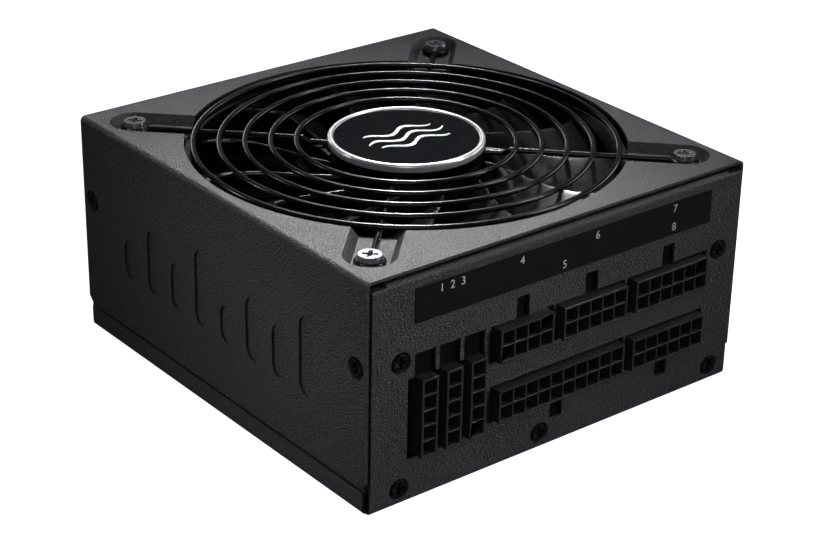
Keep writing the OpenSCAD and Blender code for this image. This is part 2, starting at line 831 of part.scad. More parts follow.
// ---- sockets ----
// Puts a child at each contact of a socket, in X across and Y up
module at_contacts(s) {
    for (i = [0:s[1] - 1], j = [0:s[2] - 1])
        translate([(i - (s[1] - 1) / 2) * contact_pitch, (j - (s[2] - 1) / 2) * contact_pitch, 0]) children();
}

module socket(s) {
    cell = contact_pitch - socket_wall;
    depth = board_y - socket_front;
    color("#17181a") translate([s[3], socket_front, s[4]]) rotate([-90, 0, 0]) difference() {
        block([socket_w(s), socket_h(s), depth]);
        at_contacts(s) translate([0, 0, -1]) block([cell, cell, depth - contact_back + 1]);
    }
}

module socket_contacts() {
    color("#c9a24a") for (s = sockets) translate([s[3], board_y - contact_back, s[4]]) rotate([90, 0, 0])
        at_contacts(s) cylinder(h = contact_len, r = contact_r, $fn = 24);
}

module socket_board() {
    color("#1d5a38") difference() {
        span([-panel_half + 3.6, panel_half - 3.6], [board_y, board_y + socket_board_t], socket_board_z);
        at_panel_screws() translate([0, 0, -20]) cylinder(h = 20, r = thread_hole_r + fit);
    }
}

module socket_standoffs() {
    front = dimple_depth + sheet;
    color("#c7a356") at_panel_screws() translate([0, 0, -half_d - board_y]) difference() {
        cylinder(h = board_y + half_d - front, r = hex_across / sqrt(3), $fn = 6);
        translate([0, 0, -1]) cylinder(h = 20, r = thread_hole_r);
    }
}

module board_screw() {
    screw(board_head[0], board_head[1], thread_r, board_screw_len, board_recess);
}

module socket_board_screws() {
    color("#b9bcc0") for (p = panel_screws_at)
        translate([p[0], board_y + socket_board_t, p[1]]) rotate([-90, 0, 0]) board_screw();
}

module output_bars() {
    y = board_y + socket_board_t;
    color("#b87333") for (x = bar_places) {
        sides = [x - bar_size[0] / 2, x + bar_size[0] / 2];
        span(sides, [y, y + bar_size[1]], [board_top, board_top + bar_size[2]]);
        span(sides, [y, board_front + bar_foot], [board_top, board_top + bar_size[1]]);
    }
}

// ---- mains panel ----
module inlet_outline(size, chamfer) {
    w = size[0] / 2;
    h = size[1] / 2;
    polygon([[-w, -h], [w, -h], [w, h - chamfer], [w - chamfer, h], [-w + chamfer, h], [-w, h - chamfer]]);
}

module inlet_body() {
    mouth = half_d + inlet_flange[2];
    color("#161719") translate([inlet_x, 0, inlet_z]) difference() {
        union() {
            along_y(half_d - inlet_depth, half_d + overlap)
                inlet_outline([inlet_w, inlet_h], cavity_chamfer + 1);
            along_y(half_d, mouth) rounded([-inlet_flange[0] / 2, -inlet_flange[1] / 2],
                [inlet_flange[0] / 2, inlet_flange[1] / 2], inlet_corner_r);
        }
        along_y(mouth - cavity[2], mouth + 1) inlet_outline([cavity[0], cavity[1]], cavity_chamfer);
        for (s = [-1, 1]) translate([s * inlet_screw_pitch / 2, mouth, 0]) rotate([90, 0, 0]) {
            translate([0, 0, -1]) cylinder(h = 10, r = inlet_screw_r + fit);
            translate([0, 0, -overlap])
                cylinder(h = inlet_head[1], r1 = inlet_head[0] + fit, r2 = inlet_screw_r);
        }
        for (p = pins_at) pin(p, half_d - inlet_depth - 1, half_d);
    }
}

module pin(p, y0, y1) {
    span([p[0] - pin_size[0] / 2, p[0] + pin_size[0] / 2], [y0, y1],
        [p[1] - pin_size[1] / 2, p[1] + pin_size[1] / 2]);
}

module inlet_pins() {
    color("#d9d3c4") translate([inlet_x, 0, inlet_z]) for (p = pins_at)
        pin(p, pin_back, half_d + inlet_flange[2] - cavity[2] + pin_len);
}

module inlet_screws() {
    color("#b9bcc0") for (s = [-1, 1])
        translate([inlet_x + s * inlet_screw_pitch / 2, half_d + inlet_flange[2], inlet_z])
            rotate([-90, 0, 0]) difference() {
                union() {
                    translate([0, 0, -inlet_head[1]])
                        cylinder(h = inlet_head[1], r1 = inlet_screw_r, r2 = inlet_head[0]);
                    translate([0, 0, -inlet_screw_len]) cylinder(h = inlet_screw_len, r = inlet_screw_r);
                }
                cross_recess(board_recess, 1);
            }
}

module switch_housing() {
    front = half_d + switch_flange[2];
    well = [rocker_size[0] + 2 * rocker_gap[0], rocker_size[1] + 2 * rocker_gap[1]];
    color("#161719") translate([switch_x, 0, inlet_z]) difference() {
        union() {
            span([-switch_size[0] / 2, switch_size[0] / 2], [switch_back, half_d + overlap],
                [-switch_size[1] / 2, switch_size[1] / 2]);
            along_y(half_d, front) rounded([-switch_flange[0] / 2, -switch_flange[1] / 2],
                [switch_flange[0] / 2, switch_flange[1] / 2], switch_corner_r);
        }
        along_y(half_d - rocker_well, front + 1) square(well, center = true);
        pivot_pin(rocker_pin_gap, switch_pivot_y);
    }
}

// The rocker's two pins in one length, wider and longer by a gap
module pivot_pin(gap, y) {
    half = switch_size[0] / 2 - rocker_pin_wall + 2 * gap;
    translate([-half, y, 0]) rotate([0, 90, 0]) cylinder(h = 2 * half, r = rocker_pin_r + gap);
}

// The rocker rests pressed in at the bottom, and its two faces meet at the pivot's height
module switch_rocker() {
    half = rocker_size[1] / 2;
    middle = half_d + switch_flange[2] + rocker_crown - switch_pivot_y;
    rise = half * tan(rocker_tilt) * 0.45;
    color("#1f2124") translate([switch_x, switch_pivot_y, inlet_z]) rotate([-rocker_tilt, 0, 0]) {
        along_x(-rocker_size[0] / 2, rocker_size[0] / 2)
            polygon([[-rocker_back, -half / 2], [-rocker_back, half / 2], [-1, half], [middle + rise, half],
                [middle - rise, 0], [middle + rise, -half], [-1, -half]]);
        pivot_pin(0, 0);
    }
}

module mains_wires() {
    off_pin = [0, -1, 0];
    off_switch = [0, -1.5, 0];
    up = [0, 0, 1.5];
    live = [inlet_x + pins_at[0][0], pin_back, inlet_z + pins_at[0][1]];
    switch_feet = [for (z = [5, -5]) [switch_x, switch_back, inlet_z + z]];
    switched_foot = [switch_x + 1.3, switch_back - 9, board_top];
    color("#3b2a1c") {
        wire(concat(wire_end(live, off_pin), [live + [-0.9, -3.9, 0.3], live + [-3, -4.4, 1.2],
            live + [-9, -2.7, 4.5], live + [-18, 0, 7], switch_feet[0] + [4.5, -8.8, 0.3],
            switch_feet[0] + [1.3, -5.8, 0.1]],
            [for (k = [2:-1:0]) switch_feet[0] + k * off_switch]), mains_wire_d);
        wire(concat(wire_end(switch_feet[1], off_switch),
            [switch_feet[1] + [1, -6.4, -1.4], switched_foot + [0, 0.2, 5.9]],
            [for (k = [2:-1:0]) switched_foot + k * up]), mains_wire_d);
        for (p = [pins_at[1], pins_at[2]]) {
            pin_end = [inlet_x + p[0], pin_back, inlet_z + p[1]];
            wire(concat(wire_end(pin_end, off_pin),
                [for (step = [[0, -4, -0.8], [0, -5, -2.9], [0, -5, -6]]) pin_end + step],
                [for (k = [2:-1:0]) [pin_end[0], pin_back - 5, board_top] + k * up]), mains_wire_d);
        }
    }
}

// ---- main board ----
module at_posts() {
    for (x = [-1, 1], y = [-1, 1]) translate([x * post_at[0], y * post_at[1], 0]) children();
}

module insulating_sheet() {
    sides = [-1, 1] * (half_w - board_side_gap - film_gap);
    color("#d8d4c0") difference() {
        span(sides, [board_front + film_gap, board_back], [sheet, sheet + film_t]);
        at_posts() cylinder(h = board_z, r = post_r + film_gap);
    }
}

module board_standoffs() {
    color("#c7a356") at_posts() translate([0, 0, sheet]) difference() {
        cylinder(h = board_z - sheet, r = post_r);
        translate([0, 0, 1]) cylinder(h = board_z, r = thread_hole_r);
    }
}

module main_board() {
    color("#1d5a38") difference() {
        span([-1, 1] * (half_w - board_side_gap), [board_front, board_back], [board_z, board_top]);
        at_posts() cylinder(h = board_top + 1, r = thread_hole_r + fit);
    }
}

module board_screws() {
    color("#b9bcc0") at_posts() translate([0, 0, board_top]) board_screw();
}

// A capacitor can with a rolled groove near its foot and a rim round its top
module can(r, h) {
    bead = 0.6;
    rim = 0.5;
    rotate_extrude() polygon([[0, 0], [r - bead, 0], [r, bead], [r, 2], [r - rim, 2 + bead],
        [r, 2 + 2 * bead], [r, h - rim], [r - rim, h], [r - 3 * rim, h], [r - 4 * rim, h - rim],
        [0, h - rim]]);
}

module bulk_capacitor() {
    color("#1b2a4a") on_board(bulk_at) can(bulk_r, fan_z - fan_clearance - board_top);
}

module output_capacitors() {
    color("#23262b") for (i = [0:5]) on_board([output_cap_x + i * output_cap_pitch, output_cap_y])
        can(output_cap_r, output_cap_h);
}

module mains_capacitors() {
    inside = mains_cap_size - 2 * potting_sink[0] * [1, 1, 0];
    color("#c9a52e") for (y = mains_cap_y) on_board([mains_cap_x, y]) difference() {
        block(mains_cap_size);
        translate([0, 0, mains_cap_size[2] - potting_sink[1]]) block(inside);
    }
}

// A ring lying round Y, with outer and inner radius and width given
module toroid(outer, inner, w) {
    rotate([90, 0, 0]) rotate_extrude() translate([inner, -w / 2]) square([outer - inner, w]);
}

module mains_choke_cores() {
    color("#3f4246") for (p = choke_at) on_board(p) translate([0, 0, choke_z])
        toroid(choke_core[0], choke_core[1], choke_core[2]);
}

module mains_choke_windings() {
    inner = choke_core[1] - choke_wire_t;
    outer = choke_core[0] + choke_wire_t;
    w = choke_core[2] + 2 * choke_wire_t;
    color("#b5682e") for (p = choke_at, s = [0, 180]) on_board(p) translate([0, 0, choke_z]) difference() {
        rotate([90, s + choke_turns_angle / 2, 0]) rotate_extrude(angle = choke_turns_angle)
            translate([inner, -w / 2]) square([outer - inner, w]);
        toroid(choke_core[0] + fit / 2, choke_core[1] - fit / 2, choke_core[2]);
    }
}

module bridge_rectifier() {
    color("#24262a") on_board(bridge_at) difference() {
        translate([0, 0, lead_h]) block(bridge_size);
        translate([0, 0, lead_h + bridge_size[2] * 0.75]) rotate([0, 90, 0])
            cylinder(h = 3 * bridge_size[0], r = tab_hole_r, center = true);
    }
    color("#b9bcc0") for (y = bridge_leads) on_board(bridge_at + [0, y]) block([leg[0], 2 * leg[1], lead_h]);
}

// A heatsink of length len along X, with its fins on the side y < 0
module heatsink(len, fins, fin_w) {
    cube([len, sink_t, sink_h]);
    for (i = [0:fins - 1]) translate([i * (len - fin_t) / (fins - 1), -fin_w, fin_z])
        cube([fin_t, fin_w + overlap, sink_h - fin_z]);
}

module primary_heatsink() {
    color("#b4b8bc") on_board(primary_sink_at) translate([sink_t, 0, 0]) rotate(90)
        heatsink(primary_sink_len, primary_fins, primary_fin_w);
}

module secondary_heatsink() {
    color("#b4b8bc") on_board(secondary_sink_at)
        heatsink(secondary_sink_len, secondary_fins, secondary_fin_w);
}

// A package that stands on three legs with its back in the plane y = 0
module transistor() {
    translate([-package[0] / 2, 0, lead_h]) cube(package);
    translate([-tab[0] / 2, 0, lead_h + package[2] - overlap]) difference() {
        cube(tab);
        translate([tab[0] / 2, -1, tab[2] / 2]) rotate([-90, 0, 0]) cylinder(h = 4, r = tab_hole_r);
    }
    for (i = [-1, 0, 1]) translate([i * leg_pitch, package[1] / 2, 0])
        block([leg[0], leg[1], lead_h + overlap]);
}

module power_transistors() {
    color("#202226") {
        for (y = [8, 20, 32]) on_board(primary_sink_at + [0, y]) rotate(90) transistor();
        for (x = [8, 20, 32, 44]) on_board(secondary_sink_at + [x, sink_t]) transistor();
    }
}

module boost_choke() {
    color("#4a4d52") on_board(boost_at) difference() {
        block(boost_core);
        boost_coils();
    }
    color("#b5682e") on_board(boost_at) boost_coils();
}

module boost_coils() {
    for (s = [-1, 1]) translate([s * boost_coil_x, 0, boost_yoke]) block(boost_coil);
}

module transformer_core() {
    window = transformer_size[2] - 2 * transformer_limb;
    color("#3a3c40") on_board(transformer_at) difference() {
        block(transformer_size);
        translate([0, 0, transformer_limb])
            block([transformer_size[0] - 2 * transformer_limb, transformer_size[1] + through, window]);
    }
}

module transformer_winding() {
    r = transformer_size[2] / 2 - transformer_limb - transformer_fit;
    len = transformer_size[0] - 2 * transformer_limb - 2 * transformer_fit;
    color("#d8b43c") on_board(transformer_at) translate([0, 0, transformer_size[2] / 2]) rotate([0, 90, 0])
        cylinder(h = len, r = r, center = true);
}

module standby_transformer() {
    rail = (standby_core[2] - standby_coil[2]) / 2;
    color("#d8b43c") on_board(standby_at) translate([0, 0, rail]) block(standby_coil);
    color("#3a3c40") on_board(standby_at) difference() {
        block(standby_core);
        translate([0, 0, rail]) block(standby_coil);
    }
}

module control_board() {
    color("#1d5a38") on_board(control_at) cube(control_size);
    color("#24262a") for (x = chip_places) on_board(control_at + [x, control_size[1] - overlap])
        translate([-chip_size[0] / 2, 0, chip_size[2]]) cube(chip_size + [0, overlap, 0]);
}

module mains_fuse() {
    color("#d9dcde") on_board(fuse_at) translate([0, 0, fuse_r[0]]) rotate([-90, 0, 0]) {
        for (z = [0, fuse_len - fuse_cap]) translate([0, 0, z]) cylinder(h = fuse_cap, r = fuse_r[0]);
        translate([0, 0, overlap]) cylinder(h = fuse_len - 2 * overlap, r = fuse_r[1]);
    }
}

top_cover();
base_shell();
fan_grille();
badge_plate();
badge_ring();
badge_disc();
fan_screws();
cover_screws();
panel_screws();
socket_standoffs();
socket_board_screws();
label_strip();
socket(sockets[0]);  // left_drive_socket
socket(sockets[1]);  // middle_drive_socket
socket(sockets[2]);  // right_drive_socket
socket(sockets[3]);  // eight_way_socket
socket(sockets[4]);  // ten_way_socket
socket(sockets[5]);  // upper_twelve_way_socket
socket(sockets[6]);  // twenty_way_socket
socket(sockets[7]);  // lower_twelve_way_socket
socket_contacts();
socket_board();
output_bars();
fan_frame();
fan_stator();
fan_windings();
fan_motor_board();
fan_bearing();
fan_shaft();
fan_impeller();
fan_yoke();
fan_magnet();
fan_lead();
fan_plug();
fan_header();
inlet_body();
inlet_pins();
inlet_screws();
switch_housing();
switch_rocker();
mains_wires();
main_board();
board_standoffs();
board_screws();
insulating_sheet();
bulk_capacitor();
mains_capacitors();
mains_choke_cores();
mains_choke_windings();
bridge_rectifier();
primary_heatsink();
secondary_heatsink();
power_transistors();
boost_choke();
transformer_core();
transformer_winding();
standby_transformer();
output_capacitors();
control_board();
mains_fuse();
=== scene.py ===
# %% [markdown]
# # A compact modular power supply
# The unit is a folded steel box with a slim 120 mm fan under a wire grille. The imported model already
# holds every part at its real place, so this lesson loads it, gives each part the finish of the real
# one, and rebuilds the pieces whose edges, curves or marks need more than the plain model shows.

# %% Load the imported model
import json
import math

import bmesh
import bpy
from mathutils import Matrix, Vector


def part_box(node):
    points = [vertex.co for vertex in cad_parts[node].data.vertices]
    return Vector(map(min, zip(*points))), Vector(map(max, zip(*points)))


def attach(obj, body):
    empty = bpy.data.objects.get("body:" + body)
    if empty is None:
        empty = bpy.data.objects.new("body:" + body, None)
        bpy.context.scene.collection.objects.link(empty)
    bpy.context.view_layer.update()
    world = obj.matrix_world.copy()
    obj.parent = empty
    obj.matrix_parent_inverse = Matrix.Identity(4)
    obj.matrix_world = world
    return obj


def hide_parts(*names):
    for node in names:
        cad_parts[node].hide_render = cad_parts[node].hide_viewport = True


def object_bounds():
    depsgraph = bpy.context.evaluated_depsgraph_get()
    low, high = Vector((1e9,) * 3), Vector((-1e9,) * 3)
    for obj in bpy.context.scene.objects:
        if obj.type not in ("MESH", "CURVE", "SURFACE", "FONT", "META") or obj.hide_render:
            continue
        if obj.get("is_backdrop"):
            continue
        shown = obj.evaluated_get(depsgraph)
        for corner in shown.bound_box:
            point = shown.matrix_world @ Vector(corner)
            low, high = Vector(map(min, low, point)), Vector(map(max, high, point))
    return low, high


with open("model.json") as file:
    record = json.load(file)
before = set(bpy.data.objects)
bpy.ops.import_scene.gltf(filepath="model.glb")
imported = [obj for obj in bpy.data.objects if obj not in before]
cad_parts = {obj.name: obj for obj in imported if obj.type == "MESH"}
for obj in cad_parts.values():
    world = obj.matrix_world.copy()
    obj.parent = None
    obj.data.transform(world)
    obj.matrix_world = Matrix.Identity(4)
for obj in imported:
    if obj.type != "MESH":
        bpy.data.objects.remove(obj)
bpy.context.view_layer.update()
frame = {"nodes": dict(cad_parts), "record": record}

MM = 0.001
NODES = frame["nodes"]
SLOT_OF = {part["node"]: part["material_slot"] for part in frame["record"]["subparts"]}

# %% [markdown]
# The camera stands to the front left and above, far away with a long lens, so the upright edges stay
# almost parallel. Its place is given from the centre of the case's underside.

# %% Camera
CAMERA_AT = Vector((-333.1, -415.8, 281.4)) * MM
CAMERA_TURN, CAMERA_LIFT, CAMERA_ROLL = (math.radians(a) for a in (-38.95, 25.91, 1.12))
LENS = 93.44
SENSOR = 36
CLIP = (0.01, 20)

camera = bpy.data.objects.new("camera", bpy.data.cameras.new("camera"))
bpy.context.scene.collection.objects.link(camera)
back = Vector((math.sin(CAMERA_TURN) * math.cos(CAMERA_LIFT),
               -math.cos(CAMERA_TURN) * math.cos(CAMERA_LIFT), math.sin(CAMERA_LIFT)))
right = Vector((0, 0, 1)).cross(back).normalized()
up = back.cross(right)
level = Matrix((right, up, back)).transposed()
rolled = level @ Matrix.Rotation(CAMERA_ROLL, 3, "Z")
camera.matrix_world = Matrix.Translation(CAMERA_AT) @ rolled.to_4x4()
camera.data.lens = LENS
camera.data.sensor_width = SENSOR
camera.data.clip_start, camera.data.clip_end = CLIP
bpy.context.scene.camera = camera
print("camera at", [round(v, 3) for v in camera.location])

# %% [markdown]
# Around the object lies a studio with white walls. The camera sees them white, while the object gets
# only a trace of their light, or its black coat would turn grey. One mix by kind of ray does both.

# %% Studio walls
WALL_GLOW = 0.06
scene = bpy.context.scene
scene.view_settings.view_transform = "Standard"
scene.view_settings.look = "None"


def linear(hex_colour):
    """An sRGB hex colour as linear red, green, blue and alpha."""
    parts = [int(hex_colour[i:i + 2], 16) / 255 for i in (1, 3, 5)]
    return tuple(c / 12.92 if c <= 0.04045 else ((c + 0.055) / 1.055) ** 2.4 for c in parts) + (1.0,)


def add(tree, kind, links=None, **settings):
    """Adds a node. links maps an input's name or number to a value or to another node's output."""
    made = tree.nodes.new(kind)
    for key, value in settings.items():
        setattr(made, key, value)
    for key, value in (links or {}).items():
        if isinstance(value, bpy.types.NodeSocket):
            tree.links.new(value, made.inputs[key])
        else:
            made.inputs[key].default_value = value
    return made


world = bpy.data.worlds.new("studio")
scene.world = world
world.use_nodes = True
walls = world.node_tree
walls.nodes.clear()
seen = add(walls, "ShaderNodeBackground", {"Color": linear("#ffffff"), "Strength": 1.0})
felt = add(walls, "ShaderNodeBackground", {"Color": linear("#eef2ff"), "Strength": WALL_GLOW})
ray = add(walls, "ShaderNodeLightPath")
either = add(walls, "ShaderNodeMixShader",
             {0: ray.outputs["Is Camera Ray"], 1: felt.outputs[0], 2: seen.outputs[0]})
add(walls, "ShaderNodeOutputWorld", {"Surface": either.outputs[0]})
print("walls light the object at", WALL_GLOW, "of what is seen")

# %% [markdown]
# Dark powder coat shows its shape through what it reflects. A soft cone of light from behind makes the
# top sheet pale near its front corner, a weak one fills its left part, and two low ones graze the side
# and the socket panel so that their grain shows. Weak soft boxes fill the rest.

# %% Lamps
AIM_HEIGHT = 40 * MM


def place_lamp(name, kind, power, turn, lift, away, target):
    """Adds a lamp aimed at target. turn is 0 behind the object (+Y) and 90 at its left (-X)."""
    turn, lift = math.radians(turn), math.radians(lift)
    way = Vector((-math.sin(turn) * math.cos(lift), math.cos(turn) * math.cos(lift), math.sin(lift)))
    holder = bpy.data.objects.new(name, bpy.data.lights.new(name, kind))
    holder.data.energy = power
    scene.collection.objects.link(holder)
    holder.location = target + way * away
    holder.rotation_euler = way.to_track_quat("Z", "Y").to_euler()
    return holder


def softbox(name, turn, lift, away, size, power):
    """A rectangular lamp aimed at the middle of the object."""
    holder = place_lamp(name, "AREA", power, turn, lift, away, Vector((0, 0, AIM_HEIGHT)))
    holder.data.shape = "RECTANGLE"
    holder.data.size, holder.data.size_y = size
    holder.visible_camera = False


def snoot(name, turn, lift, away, aim_mm, cone, size, power):
    """A round lamp with a soft cone, which lights one part of the object."""
    holder = place_lamp(name, "SPOT", power, turn, lift, away, Vector(aim_mm) * MM)
    holder.data.spot_size, holder.data.spot_blend = math.radians(cone), 1.0
    holder.data.shadow_soft_size = size


snoot("key_behind", -38, 46, 1.1, (-54, -60, 63), 12, 0.06, 95)
snoot("top_left_fill", 10, 62, 1.0, (-62, 20, 63), 12, 0.1, 14)
softbox("overhead", -20, 72, 1.2, (0.9, 0.9), 0.5)
softbox("fold_light", -128, 44, 0.9, (0.15, 0.15), 2.4)
snoot("side_glow", 45, 7, 0.9, (-62, -48, 32), 9, 0.05, 14)
snoot("panel_glow", 226, 6, 0.9, (-62, -65, 32), 12, 0.08, 19)
softbox("front_corner_fill", 140, 20, 0.7, (0.3, 0.2), 0.5)
softbox("back_fill", -8, 2, 0.9, (0.5, 0.2), 1.3)
softbox("right_fill", -98, 6, 0.9, (0.5, 0.25), 1.6)
print(len(bpy.data.lights), "lamps")

# %% [markdown]
# Each finish starts from the real material. Patterns read Object coordinates, so their scale is a
# real size: a texture scale of 1 / (0.5 * MM) gives a grain of about half a millimetre.

# %% Material helpers
NOISE_ROUGHNESS = 0.6
TINT_FROM, TINT_TO = 0.38, 0.62


def new_finish(name, colour, roughness, metallic=0.0, specular=0.5):
    """A material with one Principled shader. Returns it with its tree and shader."""
    finish = bpy.data.materials.new(name)
    finish.use_nodes = True
    tree = finish.node_tree
    tree.nodes.clear()
    surface = add(tree, "ShaderNodeBsdfPrincipled",
                  {"Base Color": linear(colour), "Roughness": roughness, "Metallic": metallic,
                   "Specular IOR Level": specular})
    add(tree, "ShaderNodeOutputMaterial", {"Surface": surface.outputs[0]})
    return finish, tree, surface


def grain(tree, size, detail=3.0):
    """Noise whose grain is size metres, as a 0 to 1 factor output."""
    place = add(tree, "ShaderNodeTexCoord")
    return add(tree, "ShaderNodeTexNoise", {"Vector": place.outputs["Object"], "Scale": 1 / size,
                                            "Detail": detail, "Roughness": NOISE_ROUGHNESS}).outputs[0]


def spread(tree, factor, low, high):
    """A 0 to 1 factor stretched over low to high."""
    return add(tree, "ShaderNodeMapRange", {"Value": factor, "To Min": low, "To Max": high}).outputs[0]


def tint(tree, factor, dark, light):
    """A factor as a colour between dark and light."""
    ramp = add(tree, "ShaderNodeValToRGB", {"Fac": factor})
    first, last = ramp.color_ramp.elements
    first.color, last.color = linear(dark), linear(light)
    first.position, last.position = TINT_FROM, TINT_TO
    return ramp.outputs[0]


def bump(tree, surface, factor, height, strength=1.0):
    """Relief of a real height in metres."""
    raised = add(tree, "ShaderNodeBump", {"Height": factor, "Distance": height, "Strength": strength})
    tree.links.new(raised.outputs[0], surface.inputs["Normal"])


print("tints run from", TINT_FROM, "to", TINT_TO, "of the noise")

# %% [markdown]
# The floor is a plain pale sheet of paper. It could be lit by lamps, but they would spill on the
# object, so it glows by itself. It neither lights the object nor mirrors in it, as if black cards
# stood round the object.

# %% Floor
FLOOR_HALF = 6

floor_mesh = bmesh.new()
bmesh.ops.create_grid(floor_mesh, x_segments=1, y_segments=1, size=FLOOR_HALF)
floor_data = bpy.data.meshes.new("floor")
floor_mesh.to_mesh(floor_data)
floor_mesh.free()
floor = bpy.data.objects.new("floor", floor_data)
scene.collection.objects.link(floor)
floor.visible_diffuse = False
floor.visible_glossy = False
floor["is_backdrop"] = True
paper, _, paper_surface = new_finish("pale_paper_floor", "#f4f4f4", 0.7, specular=0.1)
paper_surface.inputs["Emission Color"].default_value = linear("#ffffff")
paper_surface.inputs["Emission Strength"].default_value = 1.0
floor.data.materials.append(paper)
print("floor", 2 * FLOOR_HALF, "m wide")

# %% [markdown]
# Powder coat is melted polyester powder on the steel. It levels badly on purpose: the surface is a
# field of tiny rounded grains, so it glitters softly and never shows a sharp reflection. Two sizes of
# noise are averaged, since real grains differ in size.

# %% Powder coat
FINE_GRAIN, COARSE_GRAIN = 0.3 * MM, 0.6 * MM
COAT_RELIEF = 0.4 * MM
finishes = {}


def powder_coat():
    finish, tree, surface = new_finish("textured_black_powder_coat", "#15171a", 0.5)
    fine = grain(tree, FINE_GRAIN, 1.0)
    coarse = grain(tree, COARSE_GRAIN, 1.0)
    both = add(tree, "ShaderNodeMath", {0: fine, 1: coarse}, operation="ADD").outputs[0]
    grains = add(tree, "ShaderNodeMath", {0: both, 1: 0.5}, operation="MULTIPLY").outputs[0]
    tree.links.new(tint(tree, grains, "#07090b", "#34383c"), surface.inputs["Base Color"])
    tree.links.new(spread(tree, grains, 0.36, 0.52), surface.inputs["Roughness"])
    bump(tree, surface, grains, COAT_RELIEF)
    return finish


finishes["black_coat"] = powder_coat()
print("coat with grains of", FINE_GRAIN / MM, "and", COARSE_GRAIN / MM, "mm")

# %% [markdown]
# The other materials are smoother: enamel on the wires, plated screws, moulded plastic and printed
# film. Each could have a tree of its own, but all of them vary a little in colour, gloss and relief,
# so one function and a line of values for each are enough.

# %% Finishes seen from outside
RELIEF_SHARE = 0.5


def plain(name, dark, light, smooth, rough, grain_mm, relief_mm, metallic=0.0, specular=0.5):
    """A finish with a fine grain in its colour, roughness and relief."""
    finish, tree, surface = new_finish(name, dark, smooth, metallic, specular)
    noise = grain(tree, grain_mm * MM)
    tree.links.new(tint(tree, noise, dark, light), surface.inputs["Base Color"])
    tree.links.new(spread(tree, noise, smooth, rough), surface.inputs["Roughness"])
    bump(tree, surface, noise, relief_mm * MM, RELIEF_SHARE)
    return finish


# Name, dark and light colour, least and most roughness, grain and relief in mm, metallic, specular.
OUTSIDE = {
    "grille_wire": ("black_enamelled_wire", "#050506", "#0c0c0e", 0.16, 0.28, 2, 0.01, 0, 0.3),
    "badge_metal": ("bright_chrome_plate", "#cfd1d3", "#e6e7e8", 0.26, 0.36, 3, 0.004, 0.7),
    "badge_gloss": ("gloss_black_acrylic", "#08090b", "#0d0f11", 0.05, 0.09, 4, 0.002),
    "black_screw": ("black_zinc_steel", "#1a1b1d", "#34363a", 0.22, 0.4, 0.6, 0.02, 0.9),
    "bright_screw": ("bright_zinc_steel", "#a9adb1", "#d3d6d8", 0.2, 0.36, 0.6, 0.01, 1),
    "label_film": ("satin_black_label_film", "#07080a", "#0b0d11", 0.36, 0.44, 1.2, 0.004, 0, 0.25),
    "socket_nylon": ("black_glass_filled_nylon", "#1a1b1e", "#2a2c2f", 0.36, 0.5, 0.7, 0.03),
    "fan_plastic": ("gloss_black_fan_plastic", "#060607", "#0e0f11", 0.18, 0.3, 1.5, 0.01),
    "inlet_plastic": ("black_moulded_thermoset", "#0d0e10", "#191b1e", 0.3, 0.45, 0.8, 0.02),
    "switch_plastic": ("black_moulded_nylon", "#0f1012", "#1b1d20", 0.24, 0.38, 0.8, 0.02),
    "plated_pins": ("nickel_plated_brass", "#a8a290", "#cfcab9", 0.14, 0.26, 1, 0.004, 1),
    "black_nickel": ("black_nickel_screw", "#7c7e82", "#96999d", 0.24, 0.3, 0.6, 0.002, 1),
    # matte black card, used only for the painted shade in the latch slots
    "slot_shade_card": ("painted_shade_black_card", "#010102", "#040405", 0.7, 0.9, 0.5, 0.01, 0, 0.1),
    "black_board": ("black_solder_resist", "#08090a", "#0e1012", 0.3, 0.45, 1.5, 0.02),
    "white_print": ("white_screen_print", "#b9bcbf", "#d6d8da", 0.45, 0.6, 0.3, 0.004),
    "silver_print": ("satin_silver_inlay", "#aeb2b6", "#d8dadc", 0.25, 0.38, 1, 0.004, 0.9),
}
for slot, values in OUTSIDE.items():
    finishes[slot] = plain(*values)
print(len(OUTSIDE), "finishes seen from outside")

# %% [markdown]
# Through the vents one sees hints of the green board, yellow tape and blue sleeves. Little light gets
# in there, but these parts and their neighbours have their own finishes too, for when one looks inside.

